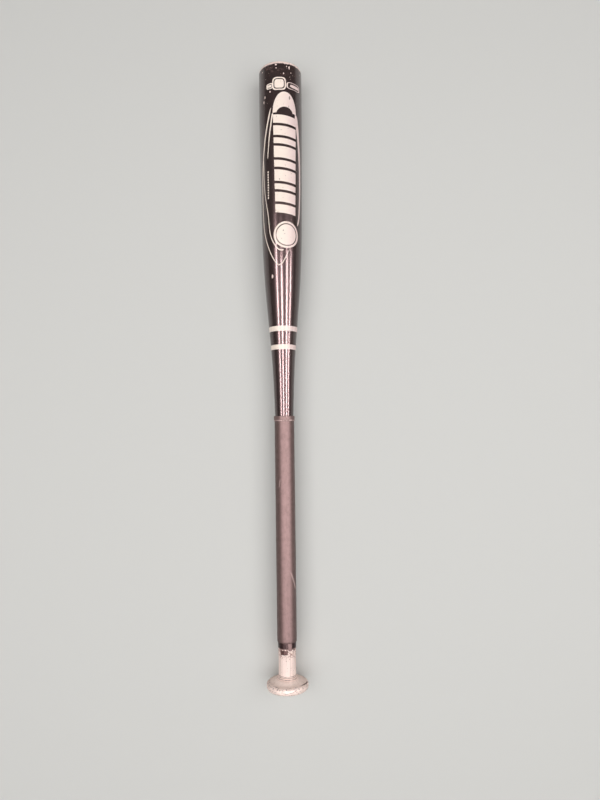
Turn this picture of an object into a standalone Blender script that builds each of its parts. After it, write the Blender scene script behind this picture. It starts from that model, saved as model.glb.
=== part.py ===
"""A one-piece aluminium baseball bat, lying on its side along Y with the barrel towards +Y.

Metres, +Z up. The origin is on the ground under the middle of the bat. Each turned piece is drawn as a
profile of (radius, station) points, where a station is the distance from the knob's end face, and is
revolved about the bat's axis.
"""

from math import cos, pi, radians, sin

import bpy

# Overall sizes
BAT_LENGTH = 0.8128
BARREL_DIAMETER = 0.05715
HANDLE_DIAMETER = 0.0225
KNOB_DIAMETER = 0.0540

# Stations along the bat, from the knob's end face
KNOB_HEIGHT = 0.0138
GRIP_START = 0.0600
TAPER_START = 0.3100

# Shell
STRAIGHT_BARREL_LENGTH = 0.0500
BARREL_WALL = 0.0027
HANDLE_WALL = 0.0025
LIP_WIDTH = 0.0086
LIP_THICKNESS = 0.0030
SHOULDER_RADIUS = 0.0040
TAPER_RINGS = 20
# Share of the taper's length against share of the growth from handle to barrel
TAPER_CURVE = [(0, 0), (0.13, 0.085), (0.25, 0.23), (0.47, 0.70), (0.60, 0.865), (0.75, 0.93), (1, 1)]

# Knob
KNOB_FLOOR = 0.0050
KNOB_RIM_DEPTH = 0.0055
KNOB_RIM_HALF_HEIGHT = 0.0048
KNOB_RIM_TOP_ANGLE = 70
KNOB_NECK_WIDTH = 0.0026
WELD_HEIGHT = 0.0045
WELD_WIDTH = 0.0022
VENT_DIAMETER = 0.0100
PLUG_HEAD_DIAMETER = 0.0140
PLUG_HEAD_THICKNESS = 0.0012
PLUG_BARB = 0.0009
PLUG_BARB_LENGTH = 0.0016

# Grip, its collar and the tape under it, which shows below the grip and ends short of its top
TAPE_SHOWN = 0.0160
TAPE_INSET = 0.0490
TAPE_THICKNESS = 0.0002
GRIP_LENGTH = 0.2890
GRIP_WALL = 0.0006
COLLAR_LENGTH = 0.0066
COLLAR_WALL = 0.0005

# End cap and damper
CAP_RECESS = 0.0005
CAP_FLANGE = 0.0035
CAP_DEPTH = 0.0110
CAP_FACE_THICKNESS = 0.0045
CAP_WALL = 0.0040
DAMPER_LENGTH = 0.0400

GAP = 0.0003
SEGMENTS = 40
ARC_STEPS = 6
MERGE_DISTANCE = 0.00001

HANDLE_RADIUS = HANDLE_DIAMETER / 2
BARREL_RADIUS = BARREL_DIAMETER / 2
KNOB_RADIUS = KNOB_DIAMETER / 2
MOUTH_RADIUS = BARREL_RADIUS - LIP_WIDTH
GRIP_END = GRIP_START + GRIP_LENGTH
TAPE_END = GRIP_END - TAPE_INSET
TAPER_END = BAT_LENGTH - STRAIGHT_BARREL_LENGTH


def collection_named(name):
    found = bpy.data.collections.new(name)
    bpy.context.scene.collection.children.link(found)
    return found


def material(name, colour, roughness, metallic=0.0):
    made = bpy.data.materials.new(name)
    made.use_nodes = True
    shader = made.node_tree.nodes["Principled BSDF"]
    shader.inputs["Base Color"].default_value = (*colour, 1)
    shader.inputs["Roughness"].default_value = roughness
    shader.inputs["Metallic"].default_value = metallic
    made.diffuse_color = (*colour, 1)
    return made


def arc(centre, radii, first, last, steps=ARC_STEPS):
    """Points on an ellipse's arc, with angles in degrees from the outward radius towards the barrel."""
    points = []
    for step in range(steps + 1):
        angle = radians(first + (last - first) * step / steps)
        points.append((centre[0] + radii[0] * cos(angle), centre[1] + radii[1] * sin(angle)))
    return points


def smooth_share(share):
    """The taper's growth at this share of its length, on a smooth curve through TAPER_CURVE."""
    knots = TAPER_CURVE
    slopes = []
    for index in range(len(knots)):
        before = knots[max(index - 1, 0)]
        after = knots[min(index + 1, len(knots) - 1)]
        slopes.append((after[1] - before[1]) / (after[0] - before[0]))
    slopes[0] = slopes[-1] = 0
    for index in range(len(knots) - 1):
        (low, low_value), (high, high_value) = knots[index : index + 2]
        if share <= high:
            break
    width = high - low
    t = (share - low) / width
    rise = high_value - low_value
    bend_low = slopes[index] * width - rise
    bend_high = rise - slopes[index + 1] * width
    return low_value + t * rise + t * (1 - t) * (bend_low * (1 - t) + bend_high * t)


def taper_share(station):
    return smooth_share(min(max((station - TAPER_START) / (TAPER_END - TAPER_START), 0), 1))


def shell_radius(station):
    return HANDLE_RADIUS + (BARREL_RADIUS - HANDLE_RADIUS) * taper_share(station)


def bore_radius(station):
    wall = HANDLE_WALL + (BARREL_WALL - HANDLE_WALL) * taper_share(station)
    return shell_radius(station) - wall


def stations(first, last, count):
    return [first + (last - first) * step / count for step in range(count + 1)]


def grip_radius(station):
    """The grip's outside: a straight cone over the tape at its foot and over the bare shell at its top."""
    foot = shell_radius(GRIP_START) + GAP + TAPE_THICKNESS + GAP + GRIP_WALL
    top = shell_radius(GRIP_END) + GAP + GRIP_WALL
    return foot + (top - foot) * (station - GRIP_START) / GRIP_LENGTH


def turned(name, profile, surface, axis, parts, closed=True):
    """Revolves a profile, given from its top down its outer side, into a solid named for its piece.

    The flats of the many-sided solid lie at the profile's radii, so its corners stand a little outside.
    """
    start = min(station for _, station in profile)
    corner = 1 / cos(pi / SEGMENTS)
    points = [(radius * corner, 0, station - start) for radius, station in profile]
    edges = [(index, index + 1) for index in range(len(points) - 1)]
    if closed:
        edges.append((len(points) - 1, 0))
    mesh = bpy.data.meshes.new(name)
    mesh.from_pydata(points, edges, [])
    mesh.materials.append(surface)
    piece = bpy.data.objects.new(name, mesh)
    piece.parent = axis
    piece.location.z = start
    screw = piece.modifiers.new("Revolve", "SCREW")
    screw.axis = "Z"
    screw.steps = SEGMENTS
    screw.render_steps = SEGMENTS
    screw.use_merge_vertices = True
    screw.merge_threshold = MERGE_DISTANCE
    screw.use_smooth_shade = True
    parts.objects.link(piece)


def bat_shell(axis, parts):
    """The tube from the knob's socket to the rolled lip at the barrel's mouth."""
    foot = KNOB_FLOOR + GAP
    shoulder = (BARREL_RADIUS - SHOULDER_RADIUS, BAT_LENGTH - SHOULDER_RADIUS)
    taper = stations(TAPER_END, TAPER_START, TAPER_RINGS)
    lip_base = BAT_LENGTH - LIP_THICKNESS
    profile = [(MOUTH_RADIUS, BAT_LENGTH)]
    profile += arc(shoulder, (SHOULDER_RADIUS, SHOULDER_RADIUS), 90, 0)
    profile += [(shell_radius(station), station) for station in taper]
    profile += [(HANDLE_RADIUS, foot), (HANDLE_RADIUS - HANDLE_WALL, foot)]
    profile += [(bore_radius(station), station) for station in reversed(taper)]
    profile += [(BARREL_RADIUS - BARREL_WALL, lip_base), (MOUTH_RADIUS, lip_base)]
    paint = material("black_paint", (0.035, 0.028, 0.028), 0.25)
    turned("bat_shell", profile, paint, axis, parts)


def knob(axis, parts):
    """The disc on the handle's end: a socket for the tube above, a vent hole and its counterbore below."""
    socket = HANDLE_RADIUS + GAP
    neck = socket + KNOB_NECK_WIDTH
    rim_centre = (KNOB_RADIUS - KNOB_RIM_DEPTH, KNOB_RIM_HALF_HEIGHT)
    rim_radii = (KNOB_RIM_DEPTH, KNOB_RIM_HALF_HEIGHT)
    counterbore = PLUG_HEAD_DIAMETER / 2 + GAP
    shelf = PLUG_HEAD_THICKNESS + GAP
    vent = VENT_DIAMETER / 2
    profile = [(socket, KNOB_HEIGHT), (neck, KNOB_HEIGHT)]
    profile += arc(rim_centre, rim_radii, KNOB_RIM_TOP_ANGLE, -90, 2 * ARC_STEPS)
    profile += [(counterbore, 0), (counterbore, shelf), (vent, shelf)]
    profile += [(vent, KNOB_FLOOR), (socket, KNOB_FLOOR)]
    metal = material("bare_aluminium", (0.72, 0.66, 0.63), 0.45, 0.8)
    turned("knob", profile, metal, axis, parts)


def knob_weld(axis, parts):
    """The bead that joins the handle to the knob's neck, resting on the neck's top."""
    inside = HANDLE_RADIUS + GAP
    foot = KNOB_HEIGHT + GAP
    profile = arc((inside, foot), (WELD_WIDTH, WELD_HEIGHT), 90, 0) + [(inside, foot)]
    turned("knob_weld", profile, material("weld_metal", (0.66, 0.60, 0.57), 0.5, 0.8), axis, parts)


def knob_plug(axis, parts):
    """The push-in plug: a flush head, a stem through the vent and a barb behind the knob's floor."""
    head = PLUG_HEAD_DIAMETER / 2
    stem = VENT_DIAMETER / 2 - GAP
    barb = VENT_DIAMETER / 2 + PLUG_BARB
    barb_foot = KNOB_FLOOR + GAP
    barb_top = barb_foot + PLUG_BARB_LENGTH
    profile = [(0, barb_top), (stem, barb_top), (barb, barb_foot), (stem, barb_foot)]
    profile += [(stem, PLUG_HEAD_THICKNESS), (head, PLUG_HEAD_THICKNESS), (head, 0), (0, 0)]
    plastic = material("plug_plastic", (0.03, 0.03, 0.03), 0.5)
    turned("knob_plug", profile, plastic, axis, parts, closed=False)


def over_shell(distance, first, last):
    """Points along the bat, this far outside the shell's surface."""
    return [(shell_radius(station) + distance, station) for station in stations(first, last, ARC_STEPS)]


def handle_tape(axis, parts):
    """The thin underwrap on the handle, from below the grip to short of the grip's top."""
    foot = GRIP_START - TAPE_SHOWN
    profile = over_shell(GAP + TAPE_THICKNESS, TAPE_END, foot) + over_shell(GAP, foot, TAPE_END)
    turned("handle_tape", profile, material("tape_film", (0.05, 0.035, 0.035), 0.3), axis, parts)


def grip(axis, parts):
    """The sleeve over the tape, then over the bare shell."""
    step = TAPE_END + GAP
    profile = [(grip_radius(GRIP_END), GRIP_END), (grip_radius(GRIP_START), GRIP_START)]
    profile += over_shell(GAP + TAPE_THICKNESS + GAP, GRIP_START, step)
    profile += over_shell(GAP, step, GRIP_END)
    turned("grip", profile, material("worn_rubber", (0.24, 0.19, 0.18), 0.6), axis, parts)


def grip_collar(axis, parts):
    """The band round the grip's top end."""
    foot = GRIP_END - COLLAR_LENGTH
    inner_top = grip_radius(GRIP_END) + GAP
    inner_foot = grip_radius(foot) + GAP
    profile = [(inner_top, GRIP_END), (inner_top + COLLAR_WALL, GRIP_END)]
    profile += [(inner_top + COLLAR_WALL, foot), (inner_foot, foot)]
    turned("grip_collar", profile, material("collar_rubber", (0.26, 0.20, 0.19), 0.55), axis, parts)


def end_cap(axis, parts):
    """The moulded cap: a face in the barrel's mouth, a groove for the lip and a skirt behind it."""
    face = BAT_LENGTH - CAP_RECESS
    face_radius = MOUTH_RADIUS - GAP
    flange_radius = MOUTH_RADIUS + CAP_FLANGE
    flange_top = BAT_LENGTH - LIP_THICKNESS - GAP
    skirt_foot = BAT_LENGTH - CAP_DEPTH
    ceiling = face - CAP_FACE_THICKNESS
    hollow = flange_radius - CAP_WALL
    profile = [(0, face), (face_radius, face), (face_radius, flange_top), (flange_radius, flange_top)]
    profile += [(flange_radius, skirt_foot), (hollow, skirt_foot), (hollow, ceiling), (0, ceiling)]
    urethane = material("cap_urethane", (0.03, 0.028, 0.03), 0.45)
    turned("end_cap", profile, urethane, axis, parts, closed=False)


def foam_damper(axis, parts):
    """The foam disc against the end cap's skirt, filling the barrel's bore."""
    top = BAT_LENGTH - CAP_DEPTH - GAP
    foot = top - DAMPER_LENGTH
    top_radius = bore_radius(top) - GAP
    foot_radius = bore_radius(foot) - GAP
    profile = [(0, top), (top_radius, top), (foot_radius, foot), (0, foot)]
    foam = material("damper_foam", (0.62, 0.58, 0.45), 0.9)
    turned("foam_damper", profile, foam, axis, parts, closed=False)


def bat_axis(parts):
    """The line that every piece is turned about, with a flat of the many-sided barrel facing the ground."""
    axis = bpy.data.objects.new("bat_axis", None)
    axis.location = (0, -BAT_LENGTH / 2, max(BARREL_RADIUS, KNOB_RADIUS))
    axis.rotation_euler = (-pi / 2, pi / SEGMENTS, 0)
    parts.objects.link(axis)
    return axis


def main():
    for leftover in list(bpy.data.objects):
        bpy.data.objects.remove(leftover)
    parts = collection_named("baseball_bat")
    axis = bat_axis(parts)
    bat_shell(axis, parts)
    knob(axis, parts)
    knob_weld(axis, parts)
    knob_plug(axis, parts)
    handle_tape(axis, parts)
    grip(axis, parts)
    grip_collar(axis, parts)
    end_cap(axis, parts)
    foam_damper(axis, parts)


main()
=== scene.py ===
"""Looks for the aluminium baseball bat: smooth shapes, worn materials, light and camera round the CAD frame.

The bat lies along Y with its barrel towards +Y. A station is the distance in metres from the knob's end
face. A turn is the angle round the bat from its top line towards +X. Across is an arc length round the
bat from the middle of the printed face.
"""

from functools import partial
from math import cos, degrees, exp, hypot, pi, radians, sin, sqrt, tan

import bpy
from mathutils import Matrix, Vector, noise


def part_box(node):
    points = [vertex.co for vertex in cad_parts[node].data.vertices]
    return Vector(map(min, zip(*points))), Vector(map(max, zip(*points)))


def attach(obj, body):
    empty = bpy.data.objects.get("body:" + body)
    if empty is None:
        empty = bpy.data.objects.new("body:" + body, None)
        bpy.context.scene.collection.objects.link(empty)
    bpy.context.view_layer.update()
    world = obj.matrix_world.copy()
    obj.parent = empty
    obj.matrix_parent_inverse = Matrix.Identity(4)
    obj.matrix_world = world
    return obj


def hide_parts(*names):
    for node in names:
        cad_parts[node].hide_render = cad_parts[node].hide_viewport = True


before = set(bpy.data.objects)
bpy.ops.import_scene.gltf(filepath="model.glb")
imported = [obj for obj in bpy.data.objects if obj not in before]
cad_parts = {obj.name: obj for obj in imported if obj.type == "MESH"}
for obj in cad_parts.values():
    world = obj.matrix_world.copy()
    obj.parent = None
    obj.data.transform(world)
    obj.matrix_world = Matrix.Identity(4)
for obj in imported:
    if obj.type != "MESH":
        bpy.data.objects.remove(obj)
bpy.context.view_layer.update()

MM = 0.001

# Sizes of the CAD part that its boxes do not give
STRAIGHT_BARREL_LENGTH = 50.0 * MM
TAPER_START = 310.0 * MM
TAPER_CURVE = [(0, 0), (0.13, 0.085), (0.25, 0.23), (0.47, 0.70), (0.60, 0.865), (0.75, 0.93), (1, 1)]
HANDLE_RADIUS = 11.25 * MM
HANDLE_WALL = 2.5 * MM
BARREL_WALL = 2.7 * MM
LIP_WIDTH = 8.6 * MM
LIP_THICKNESS = 3.0 * MM
SHOULDER_RADIUS = 4.0 * MM
GAP = 0.3 * MM

# Height of the print over the paint. The barrel is drawn smaller by it, so the print stays in the CAD's box.
PRINT_HEIGHT = 0.03 * MM

# Margin round each cell of a bake map, as a share of the cell
CELL_INSET = 0.02

# Places taken from the frame
SHELL_LOW, SHELL_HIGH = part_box("bat_shell")
KNOB_LOW, KNOB_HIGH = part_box("knob")
WELD_LOW, WELD_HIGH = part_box("knob_weld")
GRIP_LOW, GRIP_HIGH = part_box("grip")
COLLAR_LOW, COLLAR_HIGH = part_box("grip_collar")
TAPE_LOW, TAPE_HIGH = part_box("handle_tape")
CAP_LOW, CAP_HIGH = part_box("end_cap")
PLUG_LOW, PLUG_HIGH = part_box("knob_plug")
END_FACE = KNOB_LOW.y
AXIS_HEIGHT = (SHELL_LOW.z + SHELL_HIGH.z) / 2
BAT_LENGTH = SHELL_HIGH.y - END_FACE
BARREL_RADIUS = (SHELL_HIGH.z - SHELL_LOW.z) / 2 - PRINT_HEIGHT
KNOB_RADIUS = (KNOB_HIGH.z - KNOB_LOW.z) / 2
TAPER_END = BAT_LENGTH - STRAIGHT_BARREL_LENGTH
GRIP_START = GRIP_LOW.y - END_FACE
GRIP_END = GRIP_HIGH.y - END_FACE
MOUTH_RADIUS = BARREL_RADIUS - LIP_WIDTH

# Camera, fitted to the outline in the photograph: metres, millimetres of lens, and degrees
CAMERA_PLACE = (0.018, -0.0770, 0.8157)
CAMERA_LENS = 27.0
CAMERA_SENSOR = 36.0
CAMERA_LEAN_ACROSS = 0.21
CAMERA_LEAN_ALONG = 2.94
CAMERA_ROLL = -0.79

# Four long lamps over the bat, which show only in its reflections: each one's turn, share of the power and
# far end. All start at LAMP_FOOT, and LAMP_POWER is for one that is LAMP_LENGTH long with a share of 1.
LONG_LAMPS = [(-34.0, 0.9, 0.78), (-4.0, 0.9, 0.52), (29.0, 1.0, 0.62), (53.0, 1.1, 0.85)]
LAMP_HEIGHT = 2.0
LAMP_WIDTH = 0.21
LAMP_FOOT = -1.30
LAMP_LENGTH = 1.90
LAMP_COLOUR = (1.0, 0.88, 0.88)
LAMP_POWER = 59.0

# Two soft lamps, which show in no reflection: name, place, width, length and power
SOFT_LAMPS = [
    ("soft_right", (0.95, -0.1, 1.8), 1.4, 1.8, 22.0),
    ("soft_left", (-0.65, -0.2, 2.1), 2.0, 2.0, 34.0),
]
SKY_COLOUR = (1.0, 0.93, 0.90)
SKY_LEVEL = 0.16
FLOOR_COLOUR = (0.62, 0.62, 0.60)
FLOOR_REACH = 6.0

# The printed face, whose middle is turned a little to the right. Below the crescent comes a ladder of bars,
# which widens from its foot to its top, then a disc with a ring.
PRINT_TURN = 13.0
CRESCENT_HALF = 16.4 * MM
CRESCENT_FOOT = 743.0 * MM
CRESCENT_RISE = 27.5 * MM
CUT_RISE = 7.5 * MM
CUT_SHARE = 0.66
BARS_TOP = 739.0 * MM
BARS_FOOT = 604.0 * MM
BARS_LENGTH = 136.0 * MM
BAR_HALF = 13.6 * MM
BAR_WIDENING = 2.4 * MM
BAR_SLANT = 1.6 * MM
BAR_GAP = 3.5 * MM
BAR_HEIGHTS = [height * MM for height in (11.0, 12.5, 7.5, 15.0, 9.0, 15.0, 7.5, 12.5, 11.0)]
# Each stripe's points (across, station) in millimetres, then its width at its first and last point
STRIPES = [
    ([(-19, 750), (-29, 710), (-35, 665), (-35.5, 615), (-29, 578), (-10, 543.5), (4.5, 564)], 2.3, 0.9),
    ([(-16.5, 743), (-21.5, 713), (-24.5, 684)], 2.0, 1.2),
    ([(-32, 684), (-31, 645), (-24.8, 610), (-20.9, 582), (-11, 564.5), (-3, 562.5)], 1.0, 1.5),
    ([(15.8, 743), (18.4, 728), (20.6, 711), (22.6, 690), (23.6, 665), (23, 635), (20.8, 608), (17.3, 596)],
     5.4, 2.2),
]
DISC_CENTRE = (0.8 * MM, 582.4 * MM)
DISC_RINGS = [(0.0, 13.4 * MM), (14.7 * MM, 17.3 * MM)]
TICK_COUNT = 11
TICK_START = 631.0 * MM
TICK_PITCH = 3.4 * MM
TICK_LENGTH = 2.4 * MM
TICK_ACROSS = -24.0 * MM
TICK_HALF = 0.9 * MM
# The badge's blocks and the outlines round them: middle, then half width and half height, in millimetres
BADGE_BLOCKS = [((-7.3, 781.3), (6.2, 5.8)), ((15.0, 779.8), (7.4, 2.0)), ((-20.6, 779.3), (3.0, 1.7))]
BADGE_RIMS = [((-7.3, 781.3), (9.1, 8.7)), ((13.6, 779.8), (11.0, 4.6)), ((-20.2, 779.3), (5.0, 3.8))]
BADGE_LINE = 1.7
BADGE_SQUARENESS = 4.0
# The two pale bands round the taper: first and last station
BANDS = [(458.9 * MM, 465.3 * MM), (435.3 * MM, 441.4 * MM)]


# Shapes


def smooth_share(share):
    """The taper's growth at this share of its length, on the same smooth curve as the CAD."""
    knots = TAPER_CURVE
    slopes = []
    for index in range(len(knots)):
        before = knots[max(index - 1, 0)]
        after = knots[min(index + 1, len(knots) - 1)]
        slopes.append((after[1] - before[1]) / (after[0] - before[0]))
    slopes[0] = slopes[-1] = 0
    for index in range(len(knots) - 1):
        (low, low_value), (high, high_value) = knots[index : index + 2]
        if share <= high:
            break
    width = high - low
    t = (share - low) / width
    rise = high_value - low_value
    bend_low = slopes[index] * width - rise
    bend_high = rise - slopes[index + 1] * width
    return low_value + t * rise + t * (1 - t) * (bend_low * (1 - t) + bend_high * t)


def taper_share(station):
    return smooth_share(min(max((station - TAPER_START) / (TAPER_END - TAPER_START), 0), 1))


def shell_radius(station):
    return HANDLE_RADIUS + (BARREL_RADIUS - HANDLE_RADIUS) * taper_share(station)


def bore_radius(station):
    return shell_radius(station) - HANDLE_WALL - (BARREL_WALL - HANDLE_WALL) * taper_share(station)


def steps(first, last, count):
    return [first + (last - first) * step / count for step in range(count + 1)]


def arc(centre, radii, first, last, count):
    """Points on an ellipse's arc, with angles in degrees from the outward radius towards the barrel."""
    angles = [radians(angle) for angle in steps(first, last, count)]
    return [(centre[0] + radii[0] * cos(a), centre[1] + radii[1] * sin(a)) for a in angles]


def squared(angle, squareness):
    """A point of a round shape with half width 1: a circle at squareness 2, and squarer above it."""
    c, s = cos(angle), sin(angle)
    reach = (abs(c) ** squareness + abs(s) ** squareness) ** (-1 / squareness)
    return reach * c, reach * s


def bump_at(value, centre, width):
    """A smooth hill of height 1 at its centre."""
    return exp(-(((value - centre) / width) ** 2))


def plateau(value, low, high, slope):
    """1 between low and high, falling smoothly to 0 over the slope outside them."""
    outside = max(low - value, value - high, 0) / slope
    return exp(-(outside ** 2))


def rough(turn, station, size, seed=0.0):
    """Smooth noise over the bat's surface, from about -1 to 1."""
    reach = HANDLE_RADIUS / size
    return noise.noise(Vector((reach * sin(turn), reach * cos(turn) + seed, station / size)))


def on_bat(radius, turn, station):
    return (radius * sin(turn), END_FACE + station, AXIS_HEIGHT + radius * cos(turn))


def put_in_scene(name, data):
    thing = bpy.data.objects.new(name, data)
    bpy.context.scene.collection.objects.link(thing)
    return thing


def hand_over(name, mesh, finish, node=None):
    """Gives the mesh its material, and puts it in the frame as a piece that may replace a CAD node."""
    mesh.materials.append(finish)
    piece = put_in_scene(name, mesh)
    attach(piece, "root")
    if node:
        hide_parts(node)


def add_piece(name, points, faces, corners, finish, node, crease):
    """Makes a mesh piece with its own bake map, and hands it to the frame."""
    mesh = bpy.data.meshes.new(name)
    mesh.from_pydata(points, [], faces)
    layer = mesh.uv_layers.new(name="OFBake")
    layer.data.foreach_set("uv", [value for corner in corners for value in corner])
    mesh.shade_smooth()
    mesh.set_sharp_from_angle(angle=radians(crease))
    hand_over(name, mesh, finish, node)


def path_lengths(rings):
    """The length along the rings' profile at each ring."""
    lengths = [0.0]
    for (r0, s0), (r1, s1) in zip(rings, rings[1:]):
        lengths.append(lengths[-1] + max(hypot(r1 - r0, s1 - s0), 1e-6))
    return lengths


def cell_maps(rings, cells):
    """For each stretch between two rings, its left edge and width on the bake map, and its two levels there.

    The profile is cut into equal lengths, which lie side by side in a grid two cells wide.
    """
    lengths = path_lengths(rings)
    columns = 1 if cells == 1 else 2
    rows = (cells + columns - 1) // columns
    owners = []
    for low, high in zip(lengths, lengths[1:]):
        owners.append(min(int(cells * (low + high) / 2 / lengths[-1]), cells - 1))
    maps = []
    for index, owner in enumerate(owners):
        first = owners.index(owner)
        last = len(owners) - 1 - owners[::-1].index(owner)
        start, end = lengths[first], lengths[last + 1]
        low = (lengths[index] - start) / (end - start)
        high = (lengths[index + 1] - start) / (end - start)
        column, row = owner % columns, owner // columns
        across = ((column + CELL_INSET) / columns, (1 - 2 * CELL_INSET) / columns)
        base, height = (row + CELL_INSET) / rows, (1 - 2 * CELL_INSET) / rows
        maps.append((across, base + low * height, base + high * height))
    return maps


def turned(name, rings, around, finish, node, relief=None, closed=True, cells=1, crease=40.0):
    """Revolves (radius, station) rings, drawn from the top down the outside, with relief added outwards."""
    if closed:
        rings = rings + [rings[0]]
    points = []
    rows = []
    for index, (radius, station) in enumerate(rings):
        if closed and index == len(rings) - 1:
            rows.append(rows[0])
            continue
        row = []
        for step in range(around if radius > 0 else 1):
            turn = 2 * pi * step / around
            lift, slide = relief(turn, station, radius) if relief else (0.0, 0.0)
            row.append(len(points))
            points.append(on_bat(radius + lift, turn, station + slide))
        rows.append(row if len(row) > 1 else row * around)
    faces = []
    corners = []
    for (upper, lower), (across, high, low) in zip(zip(rows, rows[1:]), cell_maps(rings, cells)):
        for step in range(around):
            after = (step + 1) % around
            loop = [(upper[step], step, high), (lower[step], step, low)]
            loop += [(lower[after], step + 1, low), (upper[after], step + 1, high)]
            used = []
            kept = []
            for vertex, column, level in loop:
                if vertex not in used:
                    used.append(vertex)
                    kept.append((across[0] + across[1] * column / around, level))
            faces.append(used)
            corners.extend(kept)
    add_piece(name, points, faces, corners, finish, node, crease)


class Patch:
    """Thin print or rubber laid over the shell, gathered from any number of grids into one mesh."""

    def __init__(self, height=PRINT_HEIGHT, turn=0.0):
        self.points = []
        self.faces = []
        self.height = height
        self.turn = radians(turn)

    def grid(self, place, across, along, wrap=False):
        """place(u, v) gives (across, station) for u and v from 0 to 1, with u running towards +X.

        With wrap, across is a share of the whole way round.
        """
        start = len(self.points)
        for v in steps(0, 1, along):
            for u in steps(0, 1, across):
                distance, station = place(u, v)
                radius = shell_radius(station)
                turn = distance * 2 * pi if wrap else distance / radius
                self.points.append(on_bat(radius + self.height, turn + self.turn, station))
        width = across + 1
        for row in range(along):
            for column in range(across):
                corner = start + row * width + column
                self.faces.append((corner, corner + 1, corner + width + 1, corner + width))

    def ribbon(self, centre, half_width, count):
        """A stripe along centre(t) -> (across, station), of half width half_width(t)."""
        step = 0.004

        def place(u, v):
            before = centre(max(v - step, 0))
            after = centre(min(v + step, 1))
            run = (after - before).normalized()
            side = Vector((run.y, -run.x)) * half_width(v) * (2 * u - 1)
            return centre(v) + side

        self.grid(place, 2, count)

    def finish(self, name, finish, slot):
        mesh = bpy.data.meshes.new(name)
        mesh.from_pydata(self.points, [], self.faces)
        mesh.shade_smooth()
        hand_over(name, mesh, finish)


# Materials


def add(tree, kind, inputs=None, **settings):
    """Adds a node. A socket given as an input is linked, and anything else is set as its value."""
    node = tree.nodes.new(kind)
    for key, value in settings.items():
        setattr(node, key, value)
    for key, value in (inputs or {}).items():
        if isinstance(value, bpy.types.NodeSocket):
            tree.links.new(value, node.inputs[key])
        else:
            node.inputs[key].default_value = value
    return node


def surface_place(tree, stretch=(1, 1, 1)):
    """Position on the bat in metres. A stretch above 1 makes a pattern longer along that axis."""
    place = add(tree, "ShaderNodeTexCoord")
    scale = tuple(1 / value for value in stretch)
    mapping = add(tree, "ShaderNodeMapping", {"Vector": place.outputs["Object"], "Scale": scale})
    return mapping.outputs["Vector"]


def cloud(tree, place, size, detail=4.0, roughness=0.6):
    """Soft noise from 0 to 1 whose largest spots are about this size."""
    inputs = {"Vector": place, "Scale": 1 / size, "Detail": detail, "Roughness": roughness}
    return add(tree, "ShaderNodeTexNoise", inputs).outputs["Fac"]


def between(tree, value, low, high, first=0.0, last=1.0):
    """value from low to high, carried smoothly onto first to last."""
    inputs = {"Value": value, "From Min": low, "From Max": high, "To Min": first, "To Max": last}
    return add(tree, "ShaderNodeMapRange", inputs, interpolation_type="SMOOTHSTEP").outputs["Result"]


def maths(tree, operation, first, second=0.0):
    return add(tree, "ShaderNodeMath", {0: first, 1: second}, operation=operation).outputs["Value"]


def times(tree, first, second):
    return maths(tree, "MULTIPLY", first, second)


def plus(tree, first, second):
    return maths(tree, "ADD", first, second)


def minus(tree, first, second):
    return maths(tree, "SUBTRACT", first, second)


def mixed_colour(tree, factor, first, second):
    inputs = {0: factor, 6: as_colour(first), 7: as_colour(second)}
    return add(tree, "ShaderNodeMix", inputs, data_type="RGBA").outputs[2]


def mixed_value(tree, factor, first, second):
    return add(tree, "ShaderNodeMix", {0: factor, 2: first, 3: second}, data_type="FLOAT").outputs[0]


def as_colour(value):
    return value if isinstance(value, bpy.types.NodeSocket) else (*value, 1)


def axis_value(tree, axis):
    """The point's own X, Y or Z in metres."""
    place = add(tree, "ShaderNodeTexCoord")
    split = add(tree, "ShaderNodeSeparateXYZ", {"Vector": place.outputs["Object"]})
    return split.outputs[axis]


def bumped(tree, height, distance, strength):
    inputs = {"Height": height, "Distance": distance, "Strength": strength}
    return add(tree, "ShaderNodeBump", inputs).outputs["Normal"]


def new_finish(name, **values):
    """A material with its Principled shader's plain values set by name."""
    finish = bpy.data.materials.new(name)
    finish.use_nodes = True
    shader = finish.node_tree.nodes["Principled BSDF"]
    for key, value in values.items():
        socket = shader.inputs[key.replace("_", " ")]
        socket.default_value = value
    return finish, finish.node_tree, shader


def wire(tree, shader, **sockets):
    """Links each socket to the shader's input of that name."""
    for key, socket in sockets.items():
        tree.links.new(socket, shader.inputs[key.replace("_", " ")])


# How far a spot's edge wanders and where its full strength starts, as shares of its reach
SPOT_RAGGED = 0.9
SPOT_CORE = 0.85


def spot(tree, turn, station, reach, radius, long_by=1.0):
    """1 inside a small mark on the surface, 0 outside it, with a ragged edge."""
    centre = Vector(on_bat(radius, radians(turn), station))
    place = add(tree, "ShaderNodeTexCoord").outputs["Object"]
    offset = add(tree, "ShaderNodeVectorMath", {0: place, 1: centre}, operation="SUBTRACT").outputs["Vector"]
    scaled = add(tree, "ShaderNodeVectorMath", {0: offset, 1: (1, 1 / long_by, 1)}, operation="MULTIPLY")
    length = add(tree, "ShaderNodeVectorMath", {0: scaled.outputs["Vector"]}, operation="LENGTH")
    ragged = cloud(tree, place, 1.2 * MM, 2.0)
    edge = times(tree, minus(tree, ragged, 0.5), reach * SPOT_RAGGED)
    moved = plus(tree, length.outputs["Value"], edge)
    return between(tree, moved, reach, reach * SPOT_CORE)


def bat_station(tree):
    """The station of each point."""
    return minus(tree, axis_value(tree, "Y"), END_FACE)


def bat_turn(tree):
    """The turn of each point round the bat, in radians."""
    rise = minus(tree, axis_value(tree, "Z"), AXIS_HEIGHT)
    return maths(tree, "ARCTAN2", axis_value(tree, "X"), rise)


def bat_reach(tree):
    """The distance of each point from the bat's axis."""
    rise = minus(tree, axis_value(tree, "Z"), AXIS_HEIGHT)
    side = axis_value(tree, "X")
    squares = plus(tree, times(tree, rise, rise), times(tree, side, side))
    return maths(tree, "SQRT", squares)


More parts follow.
